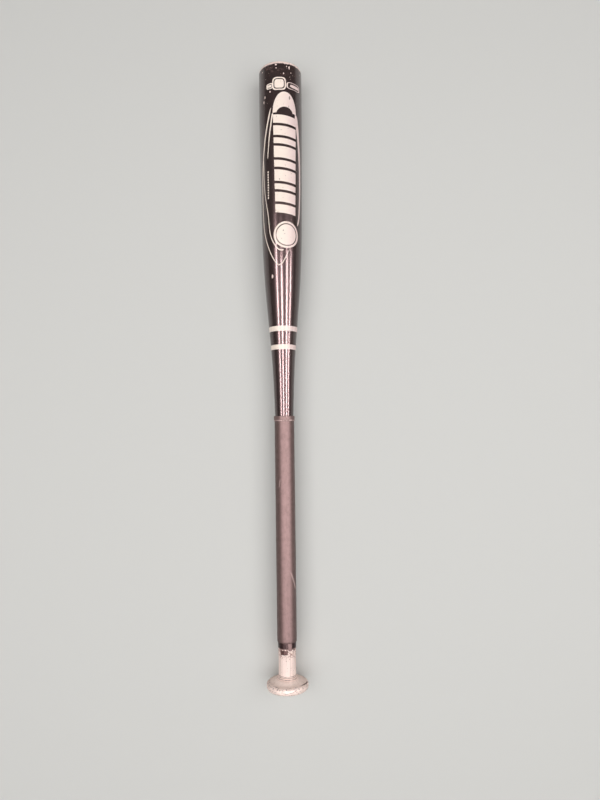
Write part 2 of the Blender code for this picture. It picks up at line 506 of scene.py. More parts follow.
def stroke(tree, value, centre, half):
    """1 round the centre value, falling to 0 at half from it on either side."""
    away = maths(tree, "ABSOLUTE", minus(tree, value, centre))
    return between(tree, away, half, half * 0.4)


def sloped(tree, turn, centre, at_turn, slope):
    """The value of a line drawn against turn, which is centre where the turn is at_turn degrees."""
    return plus(tree, times(tree, turn, slope), centre - slope * radians(at_turn))


def either(tree, masks):
    """The strongest of the masks."""
    total = masks[0]
    for mask in masks[1:]:
        total = maths(tree, "MAXIMUM", total, mask)
    return total


PAINT_DARK = (0.010, 0.0062, 0.0055)
PAINT_LIGHT = (0.030, 0.018, 0.0165)
PAINT_SCUFFED = (0.095, 0.058, 0.052)
METAL_PALE = (0.95, 0.78, 0.71)
METAL_DULL = (0.70, 0.54, 0.48)
# The bare rim's edge, as two distances below the barrel's end, and how far it wanders below them
RIM_EDGE = (3.0 * MM, 2.7 * MM)
RIM_RAGGED = 3.2 * MM
# Distances below the barrel's end where the brown scuffs start and are full, and where the specks thicken
SCUFFS_START = 34 * MM
SCUFFS_FULL = 6 * MM
SPECKS_START = 70 * MM
# Marks on the paint: turn, distance below the barrel's end and reach in millimetres, length over width
CHIPS = [
    (14, 3, 2.6, 0.8),
    (20, 3.4, 2.2, 0.8),
    (-9.5, 6, 1.3, 1),
    (26, 9, 0.9, 2.6),
    (19, 8, 0.8, 1),
    (31, 15.5, 0.8, 1),
    (10.5, 18, 0.8, 1.2),
    (-9, 10.5, 0.7, 1),
    (-53, 10, 0.8, 1),
    (-26.7, 41, 1, 1.1),
    (-43.6, 46, 0.9, 2.2),
    (-47.8, 52, 0.8, 2.4),
    (-31.7, 283.5, 1.3, 2),
    (150, 24, 1.4, 1.5),
    (-140, 60, 1.2, 2.5),
    (110, 190, 1.3, 2),
]


def shell_spots(tree, marks):
    """A mask for each mark on the shell, from a list like CHIPS."""
    spots = []
    for turn, below, reach, long_by in marks:
        station = BAT_LENGTH - below * MM
        spots.append(spot(tree, turn, station, reach * MM, shell_radius(station), long_by))
    return spots


def paint_finish():
    """Worn gloss black paint, scuffed brown near the mouth, and bare metal at the rim and in chips."""
    finish, tree, shader = new_finish(
        "black_paint", Coat_Weight=0.38, Coat_Roughness=0.07, Coat_IOR=1.42,
        Specular_IOR_Level=1.0, Specular_Tint=(1.0, 0.76, 0.76, 1),
    )
    place = surface_place(tree)
    along = axis_value(tree, "Y")
    mottle = between(tree, cloud(tree, place, 3.5 * MM, 6.0, 0.7), 0.35, 0.70)
    paint = mixed_colour(tree, mottle, PAINT_DARK, PAINT_LIGHT)
    scuffed = between(tree, cloud(tree, surface_place(tree, (1.6, 1, 1)), 5 * MM, 7.0, 0.75), 0.50, 0.66)
    near_mouth = between(tree, along, SHELL_HIGH.y - SCUFFS_START, SHELL_HIGH.y - SCUFFS_FULL, 0.0, 0.8)
    paint = mixed_colour(tree, times(tree, scuffed, near_mouth), paint, PAINT_SCUFFED)

    ragged = cloud(tree, surface_place(tree, (1, 0.5, 1)), 5 * MM, 5.0, 0.65)
    rim_place = plus(tree, along, times(tree, ragged, RIM_RAGGED))
    rim = between(tree, rim_place, SHELL_HIGH.y - RIM_EDGE[0], SHELL_HIGH.y - RIM_EDGE[1])

    near_end = between(tree, along, SHELL_HIGH.y - SPECKS_START, SHELL_HIGH.y, 0.0, 0.075)
    fine = cloud(tree, surface_place(tree, (1, 1.6, 1)), 1.6 * MM, 2.0, 0.4)
    specks = between(tree, minus(tree, fine, minus(tree, 0.80, near_end)), 0.0, 0.02)
    bare = either(tree, [rim, specks] + shell_spots(tree, CHIPS))

    lines = cloud(tree, surface_place(tree, (1, 40, 1)), 0.5 * MM, 3.0, 0.6)
    metal = mixed_colour(tree, between(tree, lines, 0.25, 0.6), METAL_DULL, METAL_PALE)
    wire(
        tree, shader,
        Base_Color=mixed_colour(tree, bare, paint, metal),
        Metallic=mixed_value(tree, bare, 0.0, 0.1),
        Roughness=mixed_value(tree, bare, 0.25, 0.5),
        Normal=bumped(tree, times(tree, bare, -1.0), 0.03 * MM, 0.6),
    )
    return finish


PRINT_CREAM = (0.93, 0.80, 0.70)
PRINT_ROSE = (0.84, 0.66, 0.63)
PRINT_SMUDGE = (0.62, 0.47, 0.42)
PRINT_NICK = (0.12, 0.085, 0.075)
# Dark nicks in the print, given as in CHIPS
NICKS = [
    (26, 49.7, 1.1, 2.2),
    (10.8, 113.3, 0.7, 1),
    (26.5, 89.7, 0.6, 0.6),
    (-4, 158, 0.7, 1.4),
    (21, 190, 0.8, 0.6),
    (5, 225, 0.7, 1.3),
]


def print_finish():
    """The pale print: cream, rose towards the right side, with small worn specks and a few dark nicked
    spots.
    """
    finish, tree, shader = new_finish(
        "pale_print", Coat_Weight=0.12, Coat_Roughness=0.15, Roughness=0.45, Specular_IOR_Level=0.3
    )
    place = surface_place(tree)
    # The tone turns darker and rose towards the right side of the bat, by its turn, with random drift
    side = between(tree, bat_turn(tree), radians(-10), radians(55))
    drift = plus(tree, side, times(tree, cloud(tree, place, 14 * MM, 5.0), 0.5))
    tone = mixed_colour(tree, between(tree, drift, 0.2, 1.2), PRINT_CREAM, PRINT_ROSE)
    smudge = between(tree, cloud(tree, place, 6 * MM, 6.0, 0.7), 0.55, 0.75, 0.0, 0.3)
    tone = mixed_colour(tree, smudge, tone, PRINT_SMUDGE)
    worn = between(tree, cloud(tree, surface_place(tree, (1, 1.8, 1)), 1.8 * MM, 3.0, 0.5), 0.68, 0.74)
    dark = times(tree, either(tree, [worn] + shell_spots(tree, NICKS)), 0.85)
    wire(tree, shader, Base_Color=mixed_colour(tree, dark, tone, PRINT_NICK))
    return finish


KNOB_PALE = (0.96, 0.79, 0.72)
KNOB_DULL = (0.80, 0.63, 0.56)
WELD_PALE = (0.92, 0.74, 0.67)
WELD_DULL = (0.74, 0.57, 0.51)
# Dark colour for the marks and weld grooves, and for painted shade in the knob's gouge
METAL_MARK_AND_SHADE = (0.15, 0.085, 0.075)
# A gouge across the knob's upper face, on the right: its middle and half length in degrees, its distance
# from the axis there, and how much further out it lies for each radian round
GOUGE_TURN = 71.0
GOUGE_SPREAD = 26.0
GOUGE_REACH = 24.2 * MM
GOUGE_SLOPE = 3.4 * MM
# Stations of the dark grooves between the weld's rings, how far they wander, and half a groove's width
WELD_GROOVES = (15.2 * MM, 17.0 * MM, 18.4 * MM)
GROOVE_WANDER = 1.6 * MM
GROOVE_HALF = 0.42 * MM


def knob_marks(tree):
    """Painted shade in the gouge, and the pits and scuffs round the knob's rim."""
    reach = bat_reach(tree)
    turn = bat_turn(tree)
    middle = sloped(tree, turn, GOUGE_REACH, GOUGE_TURN, GOUGE_SLOPE)
    ends = stroke(tree, turn, radians(GOUGE_TURN), radians(GOUGE_SPREAD))
    upper = between(tree, axis_value(tree, "Y"), END_FACE + 5 * MM, END_FACE + 6 * MM)
    # The gouge's hollow is darkened as painted shade, on top of its dent in the mesh
    gouge = times(tree, stroke(tree, reach, middle, 1.3 * MM), ends)
    gouge = times(tree, gouge, upper)
    scuffs = between(tree, cloud(tree, surface_place(tree, (2.2, 1, 1)), 1.5 * MM, 3.0, 0.6), 0.54, 0.62)
    edge = between(tree, reach, 21.5 * MM, 24 * MM, 0.12, 0.65)
    return either(tree, [gouge, times(tree, scuffs, edge)])


def weld_marks(tree):
    """The dark grooves between the weld's rings."""
    wander = times(tree, cloud(tree, surface_place(tree), 5 * MM, 3.0), GROOVE_WANDER)
    along = plus(tree, axis_value(tree, "Y"), wander)
    middle = END_FACE + GROOVE_WANDER / 2
    lines = [stroke(tree, along, middle + station, GROOVE_HALF) for station in WELD_GROOVES]
    return times(tree, either(tree, lines), 0.8)


def metal_finish(name, pale, dull, marks):
    """Bare aluminium dulled by handling, with fine scratches and its own dark marks, with painted shade in
    the knob's gouge.
    """
    finish, tree, shader = new_finish(name, Metallic=0.1, Specular_IOR_Level=0.13)
    place = surface_place(tree)
    tone = cloud(tree, place, 6 * MM, 6.0, 0.65)
    grain = between(tree, cloud(tree, place, 0.9 * MM, 3.0, 0.6), 0.35, 0.65)
    dark = marks(tree)
    metal = mixed_colour(tree, between(tree, tone, 0.3, 0.65), dull, pale)
    metal = mixed_colour(tree, times(tree, grain, 0.35), metal, pale)
    height = minus(tree, times(tree, grain, 0.25), dark)
    wire(
        tree, shader,
        Base_Color=mixed_colour(tree, dark, metal, METAL_MARK_AND_SHADE),
        Roughness=between(tree, tone, 0.3, 0.7, 0.52, 0.38),
        Normal=bumped(tree, height, 0.25 * MM, 0.8),
    )
    return finish


HANDLE_DULL = (0.74, 0.58, 0.52)
HANDLE_PALE = (0.92, 0.75, 0.69)
GLUE_BROWN = (0.34, 0.18, 0.15)
# The glue thickens from the first of these stations to the second
GLUE_START = 34.0 * MM
GLUE_FULL = 46.0 * MM


def bare_handle_finish():
    """Bare aluminium drawn along the bat, with brown glue specks below the tape."""
    finish, tree, shader = new_finish("handle_metal", Specular_IOR_Level=0.06)
    place = surface_place(tree)
    along = axis_value(tree, "Y")
    lines = between(tree, cloud(tree, surface_place(tree, (1, 60, 1)), 1.9 * MM, 4.0, 0.7), 0.36, 0.52)
    metal = mixed_colour(tree, lines, HANDLE_DULL, HANDLE_PALE)
    glue_reach = between(tree, along, END_FACE + GLUE_START, END_FACE + GLUE_FULL, 0.0, 0.14)
    glue = plus(tree, cloud(tree, place, 1.8 * MM, 4.0, 0.6), glue_reach)
    specks = between(tree, glue, 0.63, 0.70)
    wire(
        tree, shader,
        Base_Color=mixed_colour(tree, times(tree, specks, 0.8), metal, GLUE_BROWN),
        Roughness=between(tree, lines, 0, 1, 0.58, 0.46),
        Normal=bumped(tree, plus(tree, times(tree, lines, 0.4), specks), 0.05 * MM, 0.6),
    )
    return finish


GRIP_DARK = (0.036, 0.021, 0.018)
GRIP_PALE = (0.086, 0.052, 0.046)
COLLAR_DARK = (0.062, 0.038, 0.034)
COLLAR_PALE = (0.130, 0.081, 0.074)
# Pale colour for the grip's scuffs, and for the painted highlight and glints on the collar's edge
RUBBER_SCUFF_AND_HIGHLIGHT = (0.62, 0.46, 0.43)
# Pale scuffs on the rubber: turn, station in millimetres, half width in degrees, half length in millimetres,
# lean in radians per metre
SCUFFS = [
    (50, 137, 7, 15, -30),
    (-33, 262, 3, 7, 12),
    (170, 190, 6, 14, 20),
]
# The painted highlight along the collar's worn lower edge: station, half width, and the edge's radius
COLLAR_EDGE = 343.1 * MM
COLLAR_EDGE_HALF = 1.1 * MM
COLLAR_EDGE_RADIUS = 13.1 * MM
# Painted glints on that edge: turn, then station and reach in millimetres
COLLAR_GLINTS = [
    (-17.6, 342.7, 1.1),
    (41, 343.3, 1.2),
    (31, 342.8, 0.9),
    (120, 343, 1.2),
]


def scuff_marks(tree):
    """The grip's pale scuffs."""
    turn = bat_turn(tree)
    station = bat_station(tree)
    marks = []
    for at_turn, middle, half_width, half_length, lean in SCUFFS:
        leaning = times(tree, station, lean)
        centre = plus(tree, leaning, radians(at_turn) - lean * middle * MM)
        line = stroke(tree, turn, centre, radians(half_width))
        marks.append(times(tree, line, stroke(tree, station, middle * MM, half_length * MM)))
    return times(tree, either(tree, marks), 0.5)


def collar_edge_highlights(tree):
    """A painted highlight along the collar's worn lower edge, and painted glints on it."""
    # A pale line painted along the lower edge as a highlight, broken up by noise, then painted glints
    edge = stroke(tree, bat_station(tree), COLLAR_EDGE, COLLAR_EDGE_HALF)
    ragged = between(tree, cloud(tree, surface_place(tree), 3 * MM, 4.0), 0.40, 0.60, 0.15, 0.6)
    glints = [spot(tree, turn, at * MM, reach * MM, COLLAR_EDGE_RADIUS) for turn, at, reach in COLLAR_GLINTS]
    return either(tree, [times(tree, edge, ragged)] + glints)


def rubber_finish(name, dark, pale, marks):
    """Worn brown-grey rubber with a satin hand polish, and pale scuffs or painted highlights of its own."""
    finish, tree, shader = new_finish(name, Specular_IOR_Level=1.0, Specular_Tint=(1.0, 0.74, 0.72, 1))
    place = surface_place(tree)
    grain = cloud(tree, place, 0.7 * MM, 3.0, 0.6)
    patches = cloud(tree, surface_place(tree, (1, 1.6, 1)), 4 * MM, 7.0, 0.75)
    tone = between(tree, plus(tree, patches, times(tree, grain, 0.25)), 0.42, 0.80)
    lines = cloud(tree, surface_place(tree, (1, 60, 1)), 1.1 * MM, 3.0, 0.6)
    wire(
        tree, shader,
        Base_Color=mixed_colour(tree, marks(tree), mixed_colour(tree, tone, dark, pale), RUBBER_SCUFF_AND_HIGHLIGHT),
        Roughness=between(tree, patches, 0.3, 0.7, 0.53, 0.45),
        Normal=bumped(tree, plus(tree, grain, times(tree, lines, 0.7)), 0.05 * MM, 0.5),
    )
    return finish


FILM_DARK = (0.020, 0.010, 0.010)
FILM_DUSTY = (0.11, 0.065, 0.06)
TORN_DARK = (0.045, 0.022, 0.019)
TORN_PALE = (0.17, 0.095, 0.085)
TAPE_BAND = (0.42, 0.29, 0.26)
# Pale flakes stuck to the tape: turn, then station and reach in millimetres
FLAKES = [
    (-66, 52, 1.2),
    (9.7, 51.4, 1.1),
    (-10, 51.8, 0.8),
    (-28, 51.3, 0.7),
    (37, 50.4, 1.3),
    (140, 50, 1.1),
]


def tape_finish():
    """Thin dark underwrap, glossy where it is whole, dusty and brown at its torn edge."""
    tint = (1.0, 0.74, 0.74, 1)
    finish, tree, shader = new_finish("tape_film", Specular_IOR_Level=0.25, Specular_Tint=tint)
    place = surface_place(tree)
    station = bat_station(tree)
    dust = between(tree, cloud(tree, place, 1.5 * MM, 5.0, 0.7), 0.50, 0.72)
    lower = between(tree, station, 53.5 * MM, 52.0 * MM)
    band = times(tree, stroke(tree, station, 51.9 * MM, 1.3 * MM), 0.6)
    streaks = between(tree, cloud(tree, surface_place(tree, (1, 30, 1)), 1.6 * MM, 3.0, 0.6), 0.38, 0.60)
    film = mixed_colour(tree, dust, FILM_DARK, FILM_DUSTY)
    brown = mixed_colour(tree, streaks, TORN_DARK, TORN_PALE)
    colour = mixed_colour(tree, lower, film, brown)
    colour = mixed_colour(tree, band, colour, TAPE_BAND)
    skin = HANDLE_RADIUS + GAP
    flakes = either(tree, [spot(tree, turn, at * MM, reach * MM, skin) for turn, at, reach in FLAKES])
    wire(
        tree, shader,
        Base_Color=mixed_colour(tree, flakes, colour, METAL_PALE),
        Roughness=between(tree, dust, 0, 1, 0.30, 0.55),
        Normal=bumped(tree, cloud(tree, surface_place(tree, (1, 0.4, 1)), 2.2 * MM, 4.0), 0.15 * MM, 0.6),
    )
    return finish


def plain_finish(name, dark, pale, roughness, size, depth):
    """A moulded or foamed material: two close tones and a fine bump."""
    finish, tree, shader = new_finish(name)
    place = surface_place(tree)
    tone = cloud(tree, place, size, 5.0, 0.65)
    fine = cloud(tree, place, size / 6, 2.0)
    wire(
        tree, shader,
        Base_Color=mixed_colour(tree, between(tree, tone, 0.3, 0.7), dark, pale),
        Roughness=between(tree, tone, 0.3, 0.7, roughness, roughness + 0.15),
        Normal=bumped(tree, fine, depth, 0.6),
    )
    return finish


# Pieces


def add_shell():
    foot = SHELL_LOW.y - END_FACE
    shoulder = (BARREL_RADIUS - SHOULDER_RADIUS, BAT_LENGTH - SHOULDER_RADIUS)
    rings = [(MOUTH_RADIUS, BAT_LENGTH)]
    rings += arc(shoulder, (SHOULDER_RADIUS, SHOULDER_RADIUS), 90, 0, 14)
    rings += [(BARREL_RADIUS, station) for station in steps(shoulder[1] - 2 * MM, TAPER_END, 8)]
    rings += [(shell_radius(station), station) for station in steps(TAPER_END, TAPER_START, 90)[1:]]
    rings += [(HANDLE_RADIUS, station) for station in steps(TAPER_START, foot, 24)[1:]]
    inside = steps(foot, BAT_LENGTH - LIP_THICKNESS, 24)
    rings += [(bore_radius(station), station) for station in inside]
    rings += [(MOUTH_RADIUS, BAT_LENGTH - LIP_THICKNESS)]
    turned("bat_shell_surface", rings, 128, paint_finish(), "bat_shell", cells=16)


# The knob's rim: its depth inwards and half its height, where its dings begin, and its shape
RIM_DEPTH = 5.5 * MM
RIM_HALF = 4.8 * MM
DINGS_START = 14.5 * MM
RIM_SQUARENESS = 2.7
# The knob's socket floor, the vent plug's well, and the vent
SOCKET_FLOOR = 5.0 * MM
WELL_RADIUS = 7.3 * MM
WELL_DEPTH = 1.5 * MM
VENT_RADIUS = 5.0 * MM


def knob_relief(turn, station, radius):
    """Dings round the knob's rim, and a gouge on the right of its upper face."""
    if radius < DINGS_START:
        return 0.0, 0.0
    edge = min((radius - DINGS_START) / (6 * MM), 1.0)
    lift = -0.30 * MM * max(rough(turn, station, 2.2 * MM), 0) * edge
    lift -= 0.12 * MM * (1 + rough(turn, station, 6 * MM, 3.0)) * edge
    middle = GOUGE_REACH + GOUGE_SLOPE * (turn - radians(GOUGE_TURN))
    near = bump_at(turn, radians(GOUGE_TURN), radians(20)) * bump_at(radius, middle, 0.9 * MM)
    slide = -1.3 * MM * near if station > 5 * MM else 0.0
    return lift, slide


def rounded_rim(count):
    """The knob's rim from its upper face round to its end face, a little squarer than a circle."""
    rim = []
    for angle in steps(70, -90, count):
        out, along = squared(radians(angle), RIM_SQUARENESS)
        rim.append((KNOB_RADIUS - RIM_DEPTH + RIM_DEPTH * out, RIM_HALF + RIM_HALF * along))
    return rim


def add_knob():
    socket = HANDLE_RADIUS + GAP
    neck = socket + 2.6 * MM
    top = KNOB_HIGH.y - END_FACE
    rim = rounded_rim(44)
    cone_foot = rim[0]
    rings = [(socket, top), (neck - 0.4 * MM, top), (neck, top - 0.3 * MM)]
    for share in steps(0, 1, 26)[1:-1]:
        dish = 0.9 * MM * sin(pi * share)
        rings.append((neck + (cone_foot[0] - neck) * share, top + (cone_foot[1] - top) * share - dish))
    rings += rim
    rings += [(16 * MM, 0), (12 * MM, 0), (8 * MM, 0), (WELL_RADIUS, 0.15 * MM)]
    rings += [(WELL_RADIUS, WELL_DEPTH), (VENT_RADIUS, WELL_DEPTH)]
    rings += [(VENT_RADIUS, SOCKET_FLOOR), (socket, SOCKET_FLOOR)]
    metal = metal_finish("bare_aluminium", KNOB_PALE, KNOB_DULL, knob_marks)
    turned("knob_surface", rings, 240, metal, "knob", knob_relief)


def add_weld():
    foot = WELD_LOW.y - END_FACE
    top = WELD_HIGH.y - END_FACE
    inner = HANDLE_RADIUS + 0.05 * MM
    outer = (WELD_HIGH.z - WELD_LOW.z) / 2

    def relief(turn, station, radius):
        share = (station - foot) / (top - foot)
        if radius < inner + 0.1 * MM:
            return 0.0, 0.0
        wander = 0.5 * MM * rough(turn, 0.0, 4.5 * MM, 5.0)
        ripple = 0.10 * MM * sin(turn * 34 + 3 * rough(turn, 0.0, 7 * MM))
        return (ripple - 0.12 * MM) * (1 - share), wander * sin(pi * min(max(share, 0), 1))

    rings = [(inner, top)]
    for share in steps(0, 1, 40):
        station = top - (top - foot) * share
        swell = (outer - inner) * share ** 1.7
        ridges = 0.45 * MM * abs(sin(pi * 2.5 * share)) ** 0.6
        rings.append((min(inner + swell + ridges - 0.1 * MM, outer), station))
    rings += [(outer - 0.3 * MM, foot - 0.2 * MM), (inner, foot - 0.2 * MM)]
    weld = metal_finish("weld_metal", WELD_PALE, WELD_DULL, weld_marks)
    turned("weld_bead", rings, 192, weld, "knob_weld", relief, crease=60)


# The tape's torn lower end stands this far above its lowest station, and more or less between some turns:
# rise in millimetres, then in degrees the first and last turn and the slope beyond them
TORN_RISE = 7.6 * MM
TORN_STEPS = [(-6.2, -44, 3, 4), (-1.6, 38, 58, 6), (1.4, 8, 30, 5), (-4.5, 130, 170, 15)]


def torn_foot(turn):
    """The tape's ragged lower end: how far its edge stands above the tape's lowest station."""
    angle = degrees(turn)
    angle = angle - 360 if angle > 180 else angle
    edge = TORN_RISE
    for rise, first, last, slope in TORN_STEPS:
        edge += rise * MM * plateau(angle, first, last, slope)
    edge += 0.9 * MM * rough(turn, 0.0, 1.3 * MM, 9.0)
    return max(edge, 0.0)


def add_tape():
    foot = TAPE_LOW.y - END_FACE
    top = TAPE_HIGH.y - END_FACE
    outside = (TAPE_HIGH.z - TAPE_LOW.z) / 2
    inside = HANDLE_RADIUS + 0.06 * MM
    shown_top = GRIP_START + 4 * MM

    def relief(turn, station, radius):
        share = min(max((shown_top - station) / (shown_top - foot), 0), 1)
        slide = torn_foot(turn) * share
        lift = 0.0
        if radius > inside + 0.1 * MM:
            lift = -0.12 * MM * (1 + rough(turn, station, 2.6 * MM, 2.0)) * share
            ridges = abs(sin((station + slide) / (0.5 * MM)))
            lift -= 0.14 * MM * ridges * plateau(station + slide, 44 * MM, 51 * MM, 0.6 * MM)
        return lift, slide

    rings = [(outside, top)]
    rings += [(outside, station) for station in steps(shown_top, foot + 0.3 * MM, 60)]
    rings += [(outside - 0.12 * MM, foot), (inside, foot), (inside, shown_top), (inside, top)]
    turned("tape_wrap", rings, 240, tape_finish(), "handle_tape", relief, cells=4)


def add_bare_handle():
    """The unpainted length of the handle, between the weld and the grip."""
    top = GRIP_START + 6 * MM
    foot = WELD_LOW.y - END_FACE + 1 * MM
    skin = HANDLE_RADIUS + 0.03 * MM

    def relief(turn, station, radius):
        lift = 0.012 * MM * rough(turn * 6, station / 12, 2 * MM) if radius > HANDLE_RADIUS else 0.0
        return lift, 0.0

    rings = [(skin, station) for station in steps(top, foot, 40)]
    rings += [(HANDLE_RADIUS - 0.1 * MM, foot), (HANDLE_RADIUS - 0.1 * MM, top)]
    turned("bare_handle", rings, 160, bare_handle_finish(), None, relief)


def add_grip():
    top_radius = (GRIP_HIGH.z - GRIP_LOW.z) / 2
    foot_radius = top_radius - 0.28 * MM

    def outside(station):
        return foot_radius + (top_radius - foot_radius) * (station - GRIP_START) / (GRIP_END - GRIP_START)

    def relief(turn, station, radius):
        if radius < outside(station) - 0.3 * MM:
            return 0.0, 0.0
        lift = -0.07 * MM * (1 + rough(turn, station, 14 * MM, 1.0))
        crease_turn = radians(50) + (146 * MM - station) * 2.2
        lift += 0.05 * MM * bump_at(turn, crease_turn, radians(5)) * bump_at(station, 136 * MM, 11 * MM)
        fray = 0.5 * MM * rough(turn, 0.0, 3 * MM, 4.0) * bump_at(station, GRIP_START, 2 * MM)
        return lift, max(fray, 0.0)

    inner = HANDLE_RADIUS + 0.75 * MM
    stations = [GRIP_END] + steps(GRIP_END - 0.3 * MM, GRIP_START + 0.4 * MM, 130)
    rings = [(outside(station), station) for station in stations]
    rings.append((foot_radius - 0.12 * MM, GRIP_START + 0.1 * MM))
    rings.append((foot_radius - 0.3 * MM, GRIP_START))
    rings += [(inner, GRIP_START), (inner, 303 * MM), (top_radius - 0.6 * MM, GRIP_END)]
    rubber = rubber_finish("worn_rubber", GRIP_DARK, GRIP_PALE, scuff_marks)
    turned("grip_sleeve", rings, 128, rubber, "grip", relief, cells=4)
    return rubber


def add_collar():
    foot = COLLAR_LOW.y - END_FACE
    top = COLLAR_HIGH.y - END_FACE
    outside = (COLLAR_HIGH.z - COLLAR_LOW.z) / 2
    inside = outside - 0.45 * MM

    def relief(turn, station, radius):
        if radius < inside + 0.1 * MM:
            return 0.0, 0.0
        low = bump_at(station, foot, 1.1 * MM)
        lift = -0.10 * MM * (1 + rough(turn, station, 3 * MM, 6.0))
        return lift, 0.9 * MM * rough(turn, 0.0, 5 * MM, 8.0) * low

    rings = [(inside, top - 0.1 * MM), (outside - 0.2 * MM, top)]
    rings += [(outside, station) for station in steps(top - 0.3 * MM, foot + 1.3 * MM, 8)]
    rings += [(outside - 0.16 * MM, foot + 1.0 * MM), (outside - 0.02 * MM, foot + 0.7 * MM)]
    rings += [(outside - 0.02 * MM, foot + 0.3 * MM), (outside - 0.25 * MM, foot), (inside, foot)]
    # The collar's rubber carries a painted highlight and painted glints along its lower edge
    collar = rubber_finish("collar_rubber", COLLAR_DARK, COLLAR_PALE, collar_edge_highlights)
    turned("collar_band", rings, 128, collar, "grip_collar", relief)


def add_tongue(rubber):
    """A tongue of the grip's rubber left over the tape below the grip's foot."""
    flap = Patch(height=0.54 * MM, turn=20)

    def place(u, v):
        half = (2.7 - 0.5 * (1 - v)) * MM
        ragged = 0.5 * MM * rough(6 * u, 0.0, 2 * MM, 2.0) * (1 - v)
        return (2 * u - 1) * half, GRIP_START + 1 * MM - (1 - v) * 10.4 * MM + ragged

    flap.grid(place, 10, 16)
    flap.finish("grip_tongue", rubber, "worn_rubber")


CAP_DARK = (0.022, 0.019, 0.020)
CAP_PALE = (0.045, 0.038, 0.038)
CAP_SKIN = 4.0 * MM
CAP_FLOOR = 4.5 * MM
CAP_EDGE = 0.6 * MM


def add_cap():
    face = CAP_HIGH.y - END_FACE
    face_radius = MOUTH_RADIUS - GAP
    flange = (CAP_HIGH.z - CAP_LOW.z) / 2
    under = BAT_LENGTH - LIP_THICKNESS - GAP
    foot = CAP_LOW.y - END_FACE
    rings = [(0, face), (4 * MM, face), (12 * MM, face), (12.4 * MM, face - 0.3 * MM)]
    rings += [(13.2 * MM, face - 0.3 * MM), (13.6 * MM, face), (18.6 * MM, face)]
    rings += arc((face_radius - CAP_EDGE, face - CAP_EDGE), (CAP_EDGE, CAP_EDGE), 90, 0, 6)
    rings += [(face_radius, under), (flange, under), (flange, foot), (flange - CAP_SKIN, foot)]
    rings += [(flange - CAP_SKIN, face - CAP_FLOOR), (0, face - CAP_FLOOR)]
    urethane = plain_finish("cap_urethane", CAP_DARK, CAP_PALE, 0.38, 4 * MM, 0.05 * MM)
    turned("cap_moulding", rings, 128, urethane, "end_cap", closed=False)


PLUG_DARK = (0.020, 0.020, 0.021)
PLUG_PALE = (0.042, 0.040, 0.040)
PLUG_STEM = 4.7 * MM
PLUG_BARB = 5.9 * MM
BARB_STATION = 5.3 * MM
PLUG_HEAD_TOP = 1.2 * MM


def add_plug():
    head = (PLUG_HIGH.z - PLUG_LOW.z) / 2
    top = PLUG_HIGH.y - END_FACE
    rings = [(0, top), (PLUG_STEM, top), (PLUG_BARB, BARB_STATION), (PLUG_STEM, BARB_STATION)]
    rings += [(PLUG_STEM, PLUG_HEAD_TOP), (head, PLUG_HEAD_TOP), (head, 0.3 * MM), (head - 0.3 * MM, 0)]
    rings += [(3.4 * MM, 0), (3.0 * MM, 0.4 * MM), (0, 0.4 * MM)]
    plastic = plain_finish("plug_plastic", PLUG_DARK, PLUG_PALE, 0.42, 3 * MM, 0.04 * MM)
    turned("plug_moulding", rings, 96, plastic, "knob_plug", closed=False)


FOAM_DARK = (0.50, 0.45, 0.30)
FOAM_PALE = (0.66, 0.62, 0.48)


def finish_damper():
    """The foam keeps its CAD mesh and only gets a material, because nothing of it can be seen."""
    foam = plain_finish("damper_foam", FOAM_DARK, FOAM_PALE, 0.85, 3 * MM, 0.4 * MM)
    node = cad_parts["foam_damper"]
    node.data.materials.clear()
    node.data.materials.append(foam)


# The plain printed face


def add_print(finish):
    face = Patch(turn=PRINT_TURN)
    add_crescent(face)
    add_bars(face)
    add_disc(face)
    add_stripes(face)
    add_ticks(face)
    add_badge(face)
    face.finish("barrel_print", finish, "pale_print")


def through(points, share):
    """A smooth curve through design points given in millimetres, for share from 0 to 1."""
    last = len(points) - 1
    reach = share * last
    index = min(int(reach), last - 1)
    t = reach - index
    before, start, end, after = (Vector(points[min(max(index + step, 0), last)]) for step in (-1, 0, 1, 2))
    bend = (2 * before - 5 * start + 4 * end - after) * t * t
    bend += (3 * start - before - 3 * end + after) * t ** 3
    return (2 * start + (end - before) * t + bend) / 2 * MM


def add_crescent(face):
    """The arch over the bars: rounded outside, with a smaller arch cut from its lower edge."""

    def place(u, v):
        share = abs(2 * u - 1)
        outside = CRESCENT_FOOT + CRESCENT_RISE * sqrt(max(1 - share ** 2.1, 0))
        inside = CRESCENT_FOOT + CUT_RISE * max(1 - (share / CUT_SHARE) ** 2, 0) ** 0.6
        return CRESCENT_HALF * (2 * u - 1), inside + (outside - inside) * v

    face.grid(place, 48, 12)


def add_bars(face):
    """A ladder of plain bars where the photographed bat carries a name."""
    top = BARS_TOP
    for height in BAR_HEIGHTS:
        low = top - height

        def place(u, v, low=low, height=height):
            station = low + height * v
            half = BAR_HALF + BAR_WIDENING * (station - BARS_FOOT) / BARS_LENGTH
            return half * (2 * u - 1), station - BAR_SLANT * (2 * u - 1)

        face.grid(place, 16, 4)
        top = low - BAR_GAP


def add_disc(face):
    """A plain disc and the ring round it."""
    for inner, outer in DISC_RINGS:

        def place(u, v, inner=inner, outer=outer):
            reach = inner + (outer - inner) * u
            return DISC_CENTRE[0] + reach * cos(2 * pi * v), DISC_CENTRE[1] - reach * sin(2 * pi * v)

        face.grid(place, 6, 64)


def stripe_half(first, last, share):
    """Half a stripe's width in metres, drawn in at both its ends, from its first and last width."""
    drawn_in = min(1, 12 * share + 0.25, 12 * (1 - share) + 0.25)
    return (first + (last - first) * share) * MM * drawn_in / 2


def add_stripes(face):
    """Thin stripes that frame the bars: a long loop, two short strokes inside it and one on the right."""
    for points, first, last in STRIPES:
        face.ribbon(partial(through, points), partial(stripe_half, first, last), 110)


